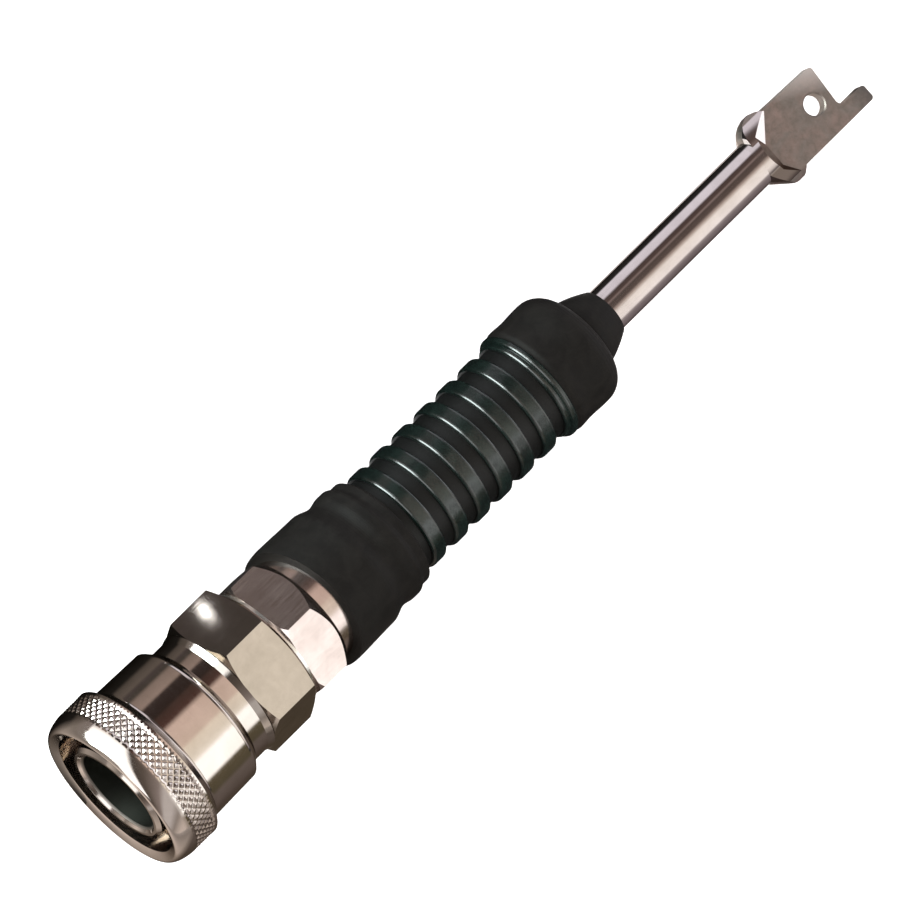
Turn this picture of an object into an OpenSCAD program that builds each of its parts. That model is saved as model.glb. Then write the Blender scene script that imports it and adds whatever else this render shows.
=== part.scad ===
// Hand air lance: a quick coupler, a hexagon fitting, a rubber grip and a flattened head.
// The tool lies along +X from the plug socket to the head, with the head's flat faces up.
// The origin is on the axis where the plug bore starts, behind the mouth chamfer.

/* [Plug socket] */
// Bore that takes the air plug
plug_bore_d = 12.3; // [12.1:0.05:12.5]
// Chamfer round the mouth of the bore
mouth_chamfer = 0.6; // [0.4:0.05:0.8]
// Wall of the thin nose ring inside the sleeve's mouth
nose_wall = 1.5; // [1.45:0.05:1.75]
// Length of the nose ring behind the mouth
nose_len = 2.4; // [2:0.1:2.6]
// Chamfer on the outside of the nose ring
nose_chamfer = 0.5; // [0.3:0.05:0.55]
// Body diameter that the sleeve runs on
guide_d = 17.1; // [17:0.05:17.25]
// Place along the axis of the ring of locking balls
ball_x = 4.9; // [4.7:0.05:5.1]
// Diameter of a locking ball
ball_d = 3.6; // [3.5:0.05:3.7]
// Number of locking balls
ball_count = 6; // [6:1:6]
// How far a locked ball stands into the bore
ball_bite = 0.9; // [0.8:0.05:0.95]
// Guide bore in front of the balls
guide_bore_len = 3; // [2.8:0.05:3.05]
// Relief of the bore behind that, on the radius
bore_relief = 0.2; // [0.18:0.01:0.25]
// Start of the packing groove
bore_len = 7.6; // [7.4:0.1:7.8]
// Width of the packing groove
packing_w = 2.2; // [2:0.1:2.3]
// Depth of the packing groove
packing_depth = 0.9; // [0.8:0.05:1]
// How far the packing stands into the bore
packing_bite = 0.15; // [0.1:0.05:0.3]

/* [Sleeve] */
// Smooth outside of the sleeve, beside the knurled band
sleeve_d = 21.9; // [21.7:0.1:22.1]
// Fall of that outside towards the sleeve's end, on the diameter
sleeve_taper = 0.4; // [0.2:0.1:0.5]
// Raised knurled band
knurl_d = 24.4; // [24:0.1:25]
// End of the raised band
knurl_end_x = 5.5; // [5.3:0.1:5.7]
// Length of the slope behind the band
knurl_slope = 1; // [0.8:0.1:1.1]
// Front crest of the bull nose
nose_crest_d = 22; // [21.8:0.1:22.4]
// Where the bull nose reaches the band's full size
nose_full_x = 2.3; // [2:0.1:2.6]
// How far the bull nose stands in front of the bore's start
bull_nose_len = 1.25; // [1.1:0.05:1.4]
// Depth of the dished face inside the crest
mouth_dish = 0.55; // [0.4:0.05:0.7]
// Pull that frees the plug
sleeve_travel = 1.8; // [1.6:0.1:1.9]
// End of the sleeve nearest the hexagon
sleeve_end_x = 15.5; // [15.3:0.05:15.55]
// Chamfer on that end
sleeve_end_chamfer = 1.2; // [0.9:0.1:1.25]
// Inner lip that rides on the neck
lip_len = 1.15; // [1:0.05:1.3]
// Land behind the balls
land_len = 1.5; // [1.3:0.1:1.6]
// Step from the body's running diameter down inside the sleeve spring
spring_seat_step = 0.55; // [0.5:0.05:0.6]
// Wire of the sleeve spring
sleeve_wire_d = 0.7; // [0.6:0.05:0.75]
// Curls of the sleeve spring
sleeve_curls = 3; // [2:1:3]
// Section of the stop ring along the axis
stop_ring_w = 0.8; // [0.7:0.05:0.9]
// How far the stop ring stands out of the neck
stop_ring_stand = 0.4; // [0.3:0.05:0.42]
// Part of the stop ring that sits in its groove
stop_ring_root = 0.45; // [0.35:0.05:0.55]

/* [Coupler body] */
// Neck seen between the sleeve and the hexagon
neck_d = 18.9; // [18.8:0.05:19]
// Length of the neck in front of the stop ring
neck_lead = 0.8; // [0.7:0.1:1]
// Lap of the valve's rubber face on its seat
seat_lap = 1.2; // [1.1:0.05:1.3]
// Length of bore between the packing and the seat
seat_lead = 0.8; // [0.6:0.1:1]
// Thickness of the valve seat
seat_t = 1; // [0.8:0.1:1.2]
// Step in the valve chamber that the spring retainer rests on
retainer_step = 0.45; // [0.4:0.05:0.6]
// Length of the valve chamber
chamber_len = 7.4; // [7.2:0.1:8]
// Wall of the threaded end round the retainer
retainer_wall = 1.15; // [1.1:0.05:1.25]
// Depth of that counterbore
retainer_bore_len = 3.4; // [3.2:0.1:3.8]
// Threaded end of the body
body_thread_d = 16; // [15.8:0.1:16.2]

/* [Valve] */
// Stroke of the valve
valve_travel = 2.5; // [2:0.1:2.6]
// Gap round the crown that the plug pushes, in the seat's hole
crown_gap = 0.2; // [0.2:0.05:0.4]
// Wall of the crown
crown_wall = 1.2; // [1:0.1:1.4]
// Reach of the crown in front of the seat
crown_reach = 2.2; // [2:0.1:2.4]
// Width of an air window in the crown
window_w = 2.6; // [2:0.1:3]
// Air gap round the valve's head
poppet_gap = 0.6; // [0.4:0.1:0.8]
// Thickness of the valve's rubber face
poppet_seal_t = 0.8; // [0.6:0.1:1]
// Thickness of the valve's head
poppet_head_t = 1.2; // [1:0.1:1.4]
// Stem that guides the valve
stem_guide_d = 3; // [2.6:0.1:3.2]
// Stem past the retainer's front face
stem_tail = 0.5; // [0.3:0.1:1]
// Wire of the valve spring
valve_wire_d = 0.6; // [0.5:0.05:0.65]
// Curls of the valve spring
valve_curls = 3; // [2:1:3]
// Thickness of the retainer
retainer_t = 1.2; // [1:0.1:1.4]
// Hub of the retainer
hub_d = 5.4; // [5.2:0.1:5.6]
// Air holes through the retainer
retainer_hole_d = 2.8; // [2.4:0.1:2.9]
// Number of those holes
retainer_holes = 5; // [4:1:5]

/* [Hexagon adapter] */
// Start of the adapter, at its collar
adapter_x = 17.9; // [17.8:0.05:18.1]
// Length of the collar in front of the hexagon
collar_len = 0.95; // [0.85:0.05:1.05]
// How far the collar stands out past the flats
collar_stand = 0.25; // [0.2:0.05:0.3]
// Fall of the collar towards the sleeve
collar_fall = 0.3; // [0.25:0.05:0.35]
// Size across the adapter's flats
adapter_af = 19; // [19:0.1:20]
// Length of the adapter's hexagon
adapter_len = 8.3; // [8.1:0.1:8.6]
// Chamfer of the hexagon beside the collar, along the axis
adapter_chamfer = 0.8; // [0.7:0.05:1]
// Chamfer of the hexagon's other end, along the axis
adapter_back_chamfer = 0.9; // [0.8:0.05:1.1]
// Edge between that chamfer and the end face
adapter_back_edge = 0.35; // [0.25:0.05:0.45]
// Gasket behind the body's threaded end
gasket_t = 0.8; // [0.6:0.1:1]
// Wall of the sleeve that clamps the retainer
clamp_wall = 1.65; // [1.5:0.05:1.8]
// Air way of the adapter
air_way_d = 6.8; // [6:0.1:7]
// Threaded tail of the adapter
tail_d = 13; // [12.6:0.1:13.2]
// Length of that tail
tail_len = 6.7; // [6:0.1:7]
// Thickness of the sealing washer
washer_t = 0.45; // [0.4:0.05:0.6]
// Outside of the sealing washer
washer_d = 18; // [17.6:0.1:18.4]

/* [Handle stem] */
// Size across the stem's flats
stem_af = 17.5; // [17.4:0.1:17.9]
// Length of the stem's hexagon with its turned end
stem_len = 9.4; // [9.3:0.05:9.6]
// Plain length of the hexagon's corners
stem_corner_len = 4.6; // [4.2:0.1:4.8]
// Diameter of the turned end
stem_end_d = 16.4; // [16:0.1:16.8]
// Length of the turned end's cylinder
stem_end_len = 2.9; // [2.7:0.1:3.1]
// Spigot inside the barrel
spigot_d = 10.7; // [10.4:0.1:10.8]
// Length of that spigot
spigot_len = 11; // [10:0.5:12]
// Place of the O-ring groove along the spigot
o_ring_at = 5; // [4:0.5:6]
// Thickness of the O-ring
o_ring_t = 1.4; // [1.2:0.1:1.5]

/* [Grip] */
// Outside of the steel barrel
barrel_d = 12.4; // [12.2:0.1:12.6]
// Wall of the barrel
barrel_wall = 0.8; // [0.7:0.05:0.85]
// Rear edge of the rear boot
rear_boot_x = 34.5; // [34.3:0.1:34.7]
// Largest outside of the rear boot
rear_boot_d = 19.1; // [18.8:0.1:19.4]
// Slant of the rear boot's cut edge, in degrees
rear_boot_slant = 12; // [8:1:13]
// Distance from that edge to the rear boot's full size
rear_full_at = 1.2; // [1:0.1:1.6]
// Length from the cut edge to the fall before the waist
rear_plain_len = 7.7; // [7.3:0.1:8]
// Fall of the rear boot over that length
rear_fall = 0.15; // [0.1:0.01:0.2]
// Depth of the rear boot's waist
rear_waist_depth = 0.85; // [0.6:0.05:1]
// Distance from the waist to the ribs
rear_waist_at = 5.1; // [4.8:0.1:5.4]
// Drop of the collar between the waist and the ribs
rear_collar_drop = 0.55; // [0.4:0.05:0.7]
// Distance from the collar's middle to the ribs
rear_collar_at = 2.9; // [2.7:0.1:3.2]
// Width of the collar's crest
rear_collar_w = 0.9; // [0.7:0.1:1.1]
// Drop of the lip beside the ribs
rear_lip_drop = 1; // [0.8:0.05:1.1]
// Width of that lip
rear_lip_w = 1.3; // [1.1:0.1:1.5]
// Rounding of its edge
rear_lip_edge = 0.4; // [0.3:0.05:0.5]
// Start of the ribbed rubber, at the end of the rear boot
ribs_x = 50; // [49.8:0.1:50.3]
// Groove between the rear boot and the first rib
rib_lead = 1.45; // [1.3:0.05:1.6]
// Outside of a rib
rib_d = 15.8; // [15.4:0.1:16.2]
// Depth of the groove between two ribs
rib_groove = 0.65; // [0.5:0.05:0.8]
// Distance from one rib to the next
rib_pitch = 4.26; // [4.2:0.01:4.3]
// Width of a groove between two ribs
rib_gap = 1.9; // [1.7:0.05:2]
// Rounding of a rib's edges
rib_edge = 0.45; // [0.3:0.05:0.48]
// Number of ribs before the flange
rib_count = 6; // [6:1:6]
// Rim of the flange at the front of the ribs
flange_d = 16.9; // [16.7:0.1:17]
// Width of the flange
flange_w = 1.65; // [1.55:0.05:1.8]
// Width of its rim
flange_rim_w = 0.95; // [0.85:0.05:1]
// Largest outside of the front boot
front_boot_d = 17.1; // [16.8:0.1:17.4]
// Length of the front boot
front_boot_len = 14.3; // [14.1:0.1:14.5]
// Drop of the front boot's edge at the flange
front_edge_drop = 0.25; // [0.15:0.05:0.3]
// Distance from that edge to the front boot's full size
front_full_at = 0.9; // [0.7:0.1:1.1]
// Depth of the front boot's waist
front_waist_depth = 0.1; // [0.05:0.01:0.15]
// Distance from the edge to the waist
front_waist_at = 3; // [2.7:0.1:3.2]
// Distance from the edge to the shoulder's round
front_shoulder_at = 6.35; // [6.2:0.05:6.5]
// Rounding of the shoulder
front_shoulder_r = 3; // [2.8:0.1:3.1]
// Rubber round the tube at the root of the nose
front_nose_wall = 2.15; // [2:0.05:2.3]
// The same at the nose's end
front_tip_wall = 0.35; // [0.3:0.05:0.5]

/* [Tube and gland] */
// Outside of the air tube
tube_d = 6.5; // [6.3:0.1:6.6]
// Wall of the air tube
tube_wall = 1; // [0.8:0.1:1.1]
// End of the barrel behind the flange's front face
barrel_past_flange = 1.2; // [1:0.1:1.4]
// Flange of the front bush
bush_flange_w = 1; // [0.8:0.1:1.2]
// Length of the bush inside the barrel
bush_len = 12; // [11:0.5:13]
// Depth of the tube in the bush, from the barrel's end
tube_depth = 8; // [7:0.5:9]
// Threaded nose of the bush
bush_thread_d = 10; // [9.8:0.1:10.2]
// Length of that nose
bush_thread_len = 3; // [2.8:0.1:3.2]
// Length of the gland nut
gland_len = 5; // [4.9:0.1:5.1]
// Outside of the gland nut
gland_d = 12.2; // [12:0.1:12.3]
// Length of the ferrule's cone
ferrule_len = 1.2; // [1:0.1:1.2]

/* [Head] */
// Place where the tube meets the head
head_x = 122.5; // [121:0.1:124]
// Thickness of the lobes on the axis
lobe_t = 5.5; // [5.3:0.1:5.7]
// Thickness of the lobes at their rim
lobe_rim_t = 0.4; // [0.3:0.1:0.6]
// Crest of the upper lobe above the axis
upper_lobe_h = 5.4; // [5.3:0.05:5.5]
// Rounding of the upper lobe
upper_lobe_r = 3.2; // [3:0.1:3.3]
// Place of that crest, from the tube's end
upper_lobe_at = 3.8; // [3.6:0.1:4]
// Crest of the lower lobe below the axis
lower_lobe_h = 5.75; // [5.65:0.05:5.85]
// Slope up to that crest, in degrees
lower_lobe_slope = 37.6; // [36:0.2:39]
// Rounding before the crest
lower_lobe_r = 1.2; // [1:0.1:1.4]
// Flat length of the crest
lower_lobe_flat = 0.9; // [0.7:0.1:1.1]
// Rounding after the crest
lower_lobe_edge = 0.6; // [0.5:0.1:0.7]
// Start of the flats, from the tube's end
flat_at = 3.05; // [2.9:0.05:3.2]
// Lean of the walls at the end of the flats, in degrees
flat_lean = 38; // [30:1:44]
// Lean of the shallower wall beside the upper lobe, in degrees
flat_hi_lean = 58; // [52:1:62]
// Thickness of the flat head
plate_t = 2.1; // [2:0.1:2.4]
// Lower edge of the flat head below the axis
plate_low = 4.75; // [4.7:0.05:4.85]
// Upper edge of the flat head above the axis
plate_high = 4.65; // [4.6:0.05:4.8]
// Fall of the upper edge towards the end
plate_draw = 0.3; // [0.2:0.05:0.4]
// Length of the flat head to its upper corner
plate_len = 15.25; // [15:0.05:15.6]
// Rake of the flat head's end
plate_rake = 0.5; // [0.3:0.1:0.7]
// Length of the finger past the tube's end
finger_len = 19.25; // [19.1:0.05:20]
// Width of the finger
finger_w = 2.4; // [2.3:0.1:2.6]
// Rounding at the root of the finger
finger_fillet = 0.9; // [0.7:0.1:1.1]
// Rounding of the outer corners
corner_r = 0.5; // [0.3:0.05:0.6]
// Hole through the flat head
hole_d = 3; // [2.8:0.1:3.2]
// Place of that hole, from the tube's end
hole_at = 12.1; // [11.8:0.1:12.4]
// Height of that hole above the axis
hole_up = 0.25; // [0.1:0.05:0.4]
// Chamfer of that hole
hole_chamfer = 0.2; // [0.1:0.05:0.3]
// Air drilling through the head
drilling_d = 1.2; // [1:0.1:1.3]
// Spigot of the head inside the tube
head_spigot_len = 8; // [7:0.5:9]

/* [Fits] */
// Radial clearance of a part that slides
run_fit = 0.07; // [0.05:0.01:0.09]
// Radial clearance of a thread or a pushed fit
push_fit = 0.05; // [0.03:0.01:0.06]
// Clearance between a ball and the sleeve's ramp
ramp_fit = 0.05; // [0.04:0.01:0.06]

/* [Hidden] */

round_fn = 96;
hex_sides = 6;
hex_turn = 8;                  // turn of the adapter's flats from the head's flats
stem_turn = -5;                // turn of the stem's corner from the head's flats
flow_steps = 6;                // steps between two stations of a moulded outline
arc_steps = 8;                 // steps of a quarter round
edge_steps = 4;                // steps of a rib's rounded edge
spring_rings = 8;              // rings in a curl
spring_sides = 6;              // sides of a spring's wire
cut_over = 1;                  // how far a cutter passes a face
far = 60;                      // a size larger than the tool is thick

// radii of the coupler
plug_r = plug_bore_d / 2;
nose_r = plug_r + nose_wall;
guide_r = guide_d / 2;
neck_r = neck_d / 2;
sleeve_r = sleeve_d / 2;
knurl_r = knurl_d / 2;
ball_r = ball_d / 2;
spring_seat_r = guide_r - spring_seat_step;

// the balls and the ramp that moves them
ball_centre_r = plug_r - ball_bite + ball_r;
ramp_slope = ball_bite / sleeve_travel;
ramp_r = ball_centre_r + (ball_r + ramp_fit) * sqrt(1 + ramp_slope * ramp_slope);
land_r = guide_r + run_fit;
recess_r = ball_centre_r + ball_r + ball_bite + run_fit;
ramp_end_x = ball_x + (ramp_r - land_r) / ramp_slope;
ramp_start_x = ball_x + (ramp_r - recess_r) / ramp_slope;
land_end_x = ramp_end_x + land_len;
ball_hole_r = ball_r + run_fit;
ball_bore_r = plug_r + bore_relief;
ball_seat_sink = ball_centre_r - ball_bore_r;
ball_seat_r = sqrt(ball_r * ball_r - ball_seat_sink * ball_seat_sink) + run_fit;
ball_seat_t = 0.6;
ball_seat_drop = 0.1;
seat_foot_r = ball_bore_r / 2;
ball_pitch = 360 / ball_count;
ball_phase = 90;

// the neck, its stop ring and the sleeve's inner lip
lip_x = sleeve_end_x - lip_len;
stop_ring_x = lip_x - stop_ring_w;
stop_ring_r = neck_r + stop_ring_stand;
stop_ring_in_r = neck_r - stop_ring_root;
stop_groove_r = stop_ring_in_r - stop_ring_stand;
stop_ring_gap = 2.4;
neck_x = stop_ring_x - neck_lead;
pocket_gap = 0.1;
pocket_r = stop_ring_r + pocket_gap;
sleeve_lip_r = neck_r + run_fit;
sleeve_wire_r = sleeve_wire_d / 2;
sleeve_coil_r = (spring_seat_r + pocket_r) / 2;
nose_crest_r = nose_crest_d / 2;
sleeve_back_r = sleeve_r - sleeve_taper / 2;

// the bore and the valve
packing_end_x = bore_len + packing_w;
packing_r = plug_r + packing_depth;
seat_x = packing_end_x + seat_lead;
chamber_x = seat_x + seat_t;
chamber_end_x = chamber_x + chamber_len;
body_end_x = chamber_end_x + retainer_bore_len;
body_thread_r = body_thread_d / 2;
retainer_r = body_thread_r - retainer_wall;
chamber_r = retainer_r - retainer_step;
poppet_r = chamber_r - poppet_gap;
seat_r = poppet_r - seat_lap;
crown_r = seat_r - crown_gap;
crown_in_r = crown_r - crown_wall;
crown_x = seat_x - crown_reach;
head_front_x = chamber_x + poppet_seal_t;
head_back_x = head_front_x + poppet_head_t;
guide_stem_r = stem_guide_d / 2;
stem_end_x = chamber_end_x + stem_tail;
window_share = 0.7;             // share of the crown's reach that the windows take
window_len = crown_reach * window_share;
valve_wire_r = valve_wire_d / 2;
hub_r = hub_d / 2;
valve_coil_r = hub_r - valve_wire_r;
retainer_back_x = chamber_end_x + retainer_t;
retainer_hole_ring_r = (hub_r + retainer_r) / 2 - push_fit;

// the adapter and the stem
hex_x = adapter_x + collar_len;
adapter_end_x = hex_x + adapter_len;
adapter_corner_r = adapter_af / 2 / cos(180 / hex_sides);
adapter_face_r = adapter_af / 2 - push_fit;
adapter_chamfer_slope = (adapter_corner_r - adapter_face_r) / adapter_chamfer;
collar_r = adapter_af / 2 + collar_stand;
collar_lap = 0.4;              // how far the hexagon's core runs inside the collar
core_r = adapter_face_r - adapter_chamfer_slope * collar_lap;
gasket_x = body_end_x;
gasket_end_x = gasket_x + gasket_t;
clamp_r = retainer_r - push_fit;
clamp_bore_r = retainer_r - clamp_wall;
air_way_r = air_way_d / 2;
tail_r = tail_d / 2;
washer_end_x = adapter_end_x + washer_t;
tail_end_x = adapter_end_x + tail_len;
stem_x = washer_end_x;
stem_face_x = stem_x + stem_len;
stem_corner_r = stem_af / 2 / cos(180 / hex_sides);
stem_end_r = stem_end_d / 2;
socket_gap = 0.1;
stem_socket_end_x = tail_end_x + socket_gap;
stem_front_chamfer = 0.5;
spigot_r = spigot_d / 2;
spigot_end_x = stem_face_x + spigot_len;
o_ring_x = stem_face_x + o_ring_at;
o_ring_r = o_ring_t / 2;
barrel_r = barrel_d / 2;
barrel_in_r = barrel_r - barrel_wall;
o_ring_centre_r = barrel_in_r - o_ring_r;
o_groove_r = o_ring_centre_r - o_ring_r - push_fit;

// the rubber parts
rubber_in_r = barrel_r + push_fit;
rear_boot_r = rear_boot_d / 2;
rib_r = rib_d / 2;
rib_root_r = rib_r - rib_groove;
flange_r = flange_d / 2;
flange_x = ribs_x + rib_lead + rib_count * rib_pitch;
flange_end_x = flange_x + flange_w;
front_boot_r = front_boot_d / 2;
front_boot_end_x = flange_end_x + front_boot_len;
boot_tail = 2.3;               // rubber that the slanted cut takes off the rear boot
boot_tail_drop = 0.45;
front_shoulder_to = 84;        // angle where the shoulder's round meets the nose
nose_power = 1.5;              // how late the nose falls towards its end

// the gland and the tube
barrel_end_x = flange_end_x + barrel_past_flange;
bush_x = barrel_end_x - bush_len;
bush_flange_end_x = barrel_end_x + bush_flange_w;
bush_nose_x = bush_flange_end_x + bush_thread_len;
bush_r = barrel_in_r - push_fit;
bush_thread_r = bush_thread_d / 2;
tube_r = tube_d / 2;
tube_in_r = tube_r - tube_wall;
tube_hole_r = tube_r + push_fit;
tube_x = barrel_end_x - tube_depth;
gland_r = gland_d / 2;
gland_end_x = bush_flange_end_x + gland_len;
gland_lip = 0.5;
gland_thread_r = bush_thread_r + push_fit;
ferrule_end_x = bush_nose_x + ferrule_len;
ferrule_step = 0.2;
ferrule_tip_wall = 0.35;
ferrule_back_r = bush_thread_r - ferrule_step;
ferrule_tip_r = tube_hole_r + ferrule_tip_wall;

// the head
upper_arc_r = upper_lobe_h - upper_lobe_r;
upper_lobe_x = head_x + upper_lobe_at;
upper_from = -75;              // angles where the upper lobe's arc leaves the tube and ends
upper_to = 60;
lower_slope_len = (lower_lobe_h - lower_lobe_r * (1 - cos(lower_lobe_slope)) - tube_r) / tan(lower_lobe_slope);
lower_arc_x = head_x + lower_slope_len + lower_lobe_r * sin(lower_lobe_slope);
lower_edge_x = lower_arc_x + lower_lobe_flat;
lower_to = 45;
lobe_inside = 1;               // how far the lobes' ends run inside the flat head
lobe_overlap = 0.5;            // how far each lobe runs past the middle, inside the tube's round
lens_half = lower_lobe_h;
lens_rise = (lobe_t - lobe_rim_t) / 2;
lens_r = (lens_half * lens_half + lens_rise * lens_rise) / (2 * lens_rise);
lens_shift = lens_r - lobe_t / 2;
flat_x = head_x + flat_at;
flat_hi = 1;                   // half length of the flats' square edge, towards +Y
flat_lo = 2.6;                 // the same, towards -Y
flat_hi_turn = 42;             // turn of the flats' end beyond that, towards +Y
flat_lo_turn = 33;             // the same, towards -Y
plate_end_x = head_x + plate_len;
plate_lead = 0.5;
plate_start_x = flat_x - plate_lead;
finger_end_x = head_x + finger_len;
hole_x = head_x + hole_at;
hole_r = hole_d / 2;
drilling_r = drilling_d / 2;
head_spigot_r = tube_in_r - push_fit;

echo(tool_length = finger_end_x + bull_nose_len, sleeve_ramp_slope = ramp_slope);

// ---- helpers ----

// a body turned about the tool's axis, from points [radius, place along the axis]
module turned(points)
    rotate([0, 90, 0])
        rotate_extrude($fn = round_fn)
            polygon(points);

// a plain ring or, with no bore, a disc
module ring(bore_r, outer_r, x0, x1)
    turned([[bore_r, x0], [outer_r, x0], [outer_r, x1], [bore_r, x1]]);

module rod(r, x0, x1)
    translate([x0, 0, 0])
        rotate([0, 90, 0])
            cylinder(r = r, h = x1 - x0, $fn = round_fn);

module cone(r0, r1, x0, x1)
    translate([x0, 0, 0])
        rotate([0, 90, 0])
            cylinder(r1 = r0, r2 = r1, h = x1 - x0, $fn = round_fn);

// hexagon prism about the axis; at a turn of 0 a flat faces +Z
module hexagon(corner_r, x0, x1, turn)
    translate([x0, 0, 0])
        rotate([turn, 0, 0])
            rotate([0, 90, 0])
                rotate([0, 0, 180 / hex_sides])
                    cylinder(r = corner_r, h = x1 - x0, $fn = hex_sides);

// round stretch of an outline, centred at [radius, x], from one angle to another
function arc(centre_r, centre_x, r, from, to) = [
    for (i = [0 : arc_steps])
        let (a = from + (to - from) * i / arc_steps)
        [centre_r + r * cos(a), centre_x + r * sin(a)]
];

// smooth moulded outline through a few stations [radius, x]
function flow(stations) = [
    for (i = [0 : len(stations) - 2], k = [0 : flow_steps - (i == len(stations) - 2 ? 0 : 1)])
        let (
            t = k / flow_steps,
            eased = (1 - cos(180 * t)) / 2,
            a = stations[i],
            b = stations[i + 1]
        )
        [a[0] + (b[0] - a[0]) * eased, a[1] + (b[1] - a[1]) * t]
];

// a wound spring: one tube whose curls climb from x0 to x1, its wire inside both ends
module coil(coil_r, wire_r, x0, x1, curls) {
    steps = curls * spring_rings;
    climb = (x1 - x0 - 2 * wire_r) / steps;
    points = [
        for (i = [0 : steps], k = [0 : spring_sides - 1])
            let (
                turn = 360 * i / spring_rings,
                side = 360 * k / spring_sides,
                r = coil_r + wire_r * cos(side)
            )
            [x0 + wire_r + climb * i + wire_r * sin(side), r * cos(turn), r * sin(turn)]
    ];
    last = steps * spring_sides;
    faces = concat(
        [[for (k = [0 : spring_sides - 1]) k]],
        [[for (k = [0 : spring_sides - 1]) last + spring_sides - 1 - k]],
        [
            for (i = [0 : steps - 1], k = [0 : spring_sides - 1], half = [0, 1])
                let (
                    a = i * spring_sides + k,
                    b = i * spring_sides + (k + 1) % spring_sides,
                    c = a + spring_sides,
                    d = b + spring_sides
                )
                half == 0 ? [a, c, b] : [b, c, d]
        ]
    );
    polyhedron(points, faces, convexity = 6);
}

function coil_gap(wire_r, x0, x1, curls) = (x1 - x0 - 2 * wire_r) / curls - 2 * wire_r;

echo(
    sleeve_spring_gap = coil_gap(sleeve_wire_r, land_end_x, neck_x, sleeve_curls),
    valve_spring_gap = coil_gap(valve_wire_r, head_back_x, chamber_end_x, valve_curls)
);

// one ball's place, turned about the axis
module at_ball(i)
    rotate([ball_phase + i * ball_pitch, 0, 0])
        translate([ball_x, 0, 0])
            children();

// ---- coupler ----

module coupler_body()
    color([0.62, 0.58, 0.55])
        difference() {
            union() {
                turned([
                    [0, -mouth_chamfer],
                    [nose_r - nose_chamfer, -mouth_chamfer],
                    [nose_r, nose_chamfer - mouth_chamfer],
                    [nose_r, nose_len],
                    [0, nose_len]
                ]);
                ring(0, guide_r, nose_len, land_end_x);
                ring(0, spring_seat_r, land_end_x, neck_x);
                ring(0, neck_r, neck_x, adapter_x);
                ring(0, body_thread_r, adapter_x, body_end_x);
            }
            cone(plug_r + mouth_chamfer, plug_r, -mouth_chamfer, 0);
            rod(plug_r, 0, guide_bore_len + cut_over);
            rod(ball_bore_r, guide_bore_len, seat_x);
            rod(packing_r, bore_len, packing_end_x);
            rod(seat_r, seat_x - cut_over, chamber_x + cut_over);
            rod(chamber_r, chamber_x, chamber_end_x);
            rod(retainer_r, chamber_end_x, body_end_x + cut_over);
            ring(stop_groove_r, neck_r + cut_over, stop_ring_x - push_fit, lip_x + push_fit);
            for (i = [0 : ball_count - 1])
                at_ball(i)
                    rotate_extrude($fn = round_fn)
                        polygon([
                            [0, seat_foot_r],
                            [ball_seat_r, seat_foot_r],
                            [ball_seat_r, ball_bore_r - ball_seat_drop],
                            [ball_hole_r, ball_bore_r - ball_seat_drop + ball_seat_t],
                            [ball_hole_r, guide_r + cut_over],
                            [0, guide_r + cut_over]
                        ]);
        }

module locking_ball(i)
    color([0.75, 0.74, 0.73])
        at_ball(i)
            translate([0, 0, ball_centre_r])
                sphere(r = ball_r, $fn = round_fn);

module coupler_sleeve()
    color([0.72, 0.66, 0.62])
        turned(concat(
            [
                for (i = [0 : arc_steps])
                    let (a = 90 * i / arc_steps)
                    [
                        nose_crest_r + (knurl_r - nose_crest_r) * sin(a),
                        nose_full_x - (nose_full_x + bull_nose_len) * cos(a)
                    ]
            ],
            [
                [knurl_r, knurl_end_x],
                [sleeve_r, knurl_end_x + knurl_slope],
                [sleeve_back_r, sleeve_end_x - sleeve_end_chamfer],
                [sleeve_back_r - sleeve_end_chamfer, sleeve_end_x],
                [sleeve_lip_r, sleeve_end_x],
                [sleeve_lip_r, lip_x],
                [pocket_r, lip_x],
                [pocket_r, land_end_x],
                [land_r, land_end_x],
                [land_r, ramp_end_x],
                [recess_r, ramp_start_x],
                [recess_r, mouth_dish - bull_nose_len]
            ]
        ));

module sleeve_spring()
    color([0.45, 0.45, 0.47])
        coil(sleeve_coil_r, sleeve_wire_r, land_end_x, neck_x, sleeve_curls);

module sleeve_stop_ring()
    color([0.4, 0.4, 0.42])
        difference() {
            ring(stop_ring_in_r, stop_ring_r, stop_ring_x, lip_x);
            translate([stop_ring_x - cut_over, -stop_ring_gap / 2, 0])
                cube([stop_ring_w + 2 * cut_over, stop_ring_gap, far]);
        }

module plug_packing()
    color([0.1, 0.1, 0.1])
        turned([
            [plug_r - packing_bite, bore_len + packing_w / 3],
            [ball_bore_r + packing_bite, bore_len],
            [packing_r - push_fit, bore_len],
            [packing_r - push_fit, packing_end_x],
            [ball_bore_r + packing_bite, packing_end_x],
            [plug_r - packing_bite, packing_end_x - packing_w / 3]
        ]);

// ---- valve ----

module valve_poppet()
    color([0.76, 0.65, 0.35])
        difference() {
            union() {
                rod(crown_r, crown_x, head_front_x);
                rod(poppet_r, head_front_x, head_back_x);
                rod(guide_stem_r, head_back_x, stem_end_x);
            }
            rod(crown_in_r, crown_x - cut_over, head_front_x);
            for (turn = [0, 90])
                rotate([turn, 0, 0])
                    translate([seat_x - window_len, -window_w / 2, -far / 2])
                        cube([chamber_x - seat_x + window_len, window_w, far]);
        }

module poppet_seal()
    color([0.12, 0.12, 0.12])
        ring(crown_r + push_fit, poppet_r, chamber_x, head_front_x);

module valve_spring()
    color([0.5, 0.5, 0.52])
        coil(valve_coil_r, valve_wire_r, head_back_x, chamber_end_x, valve_curls);

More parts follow.
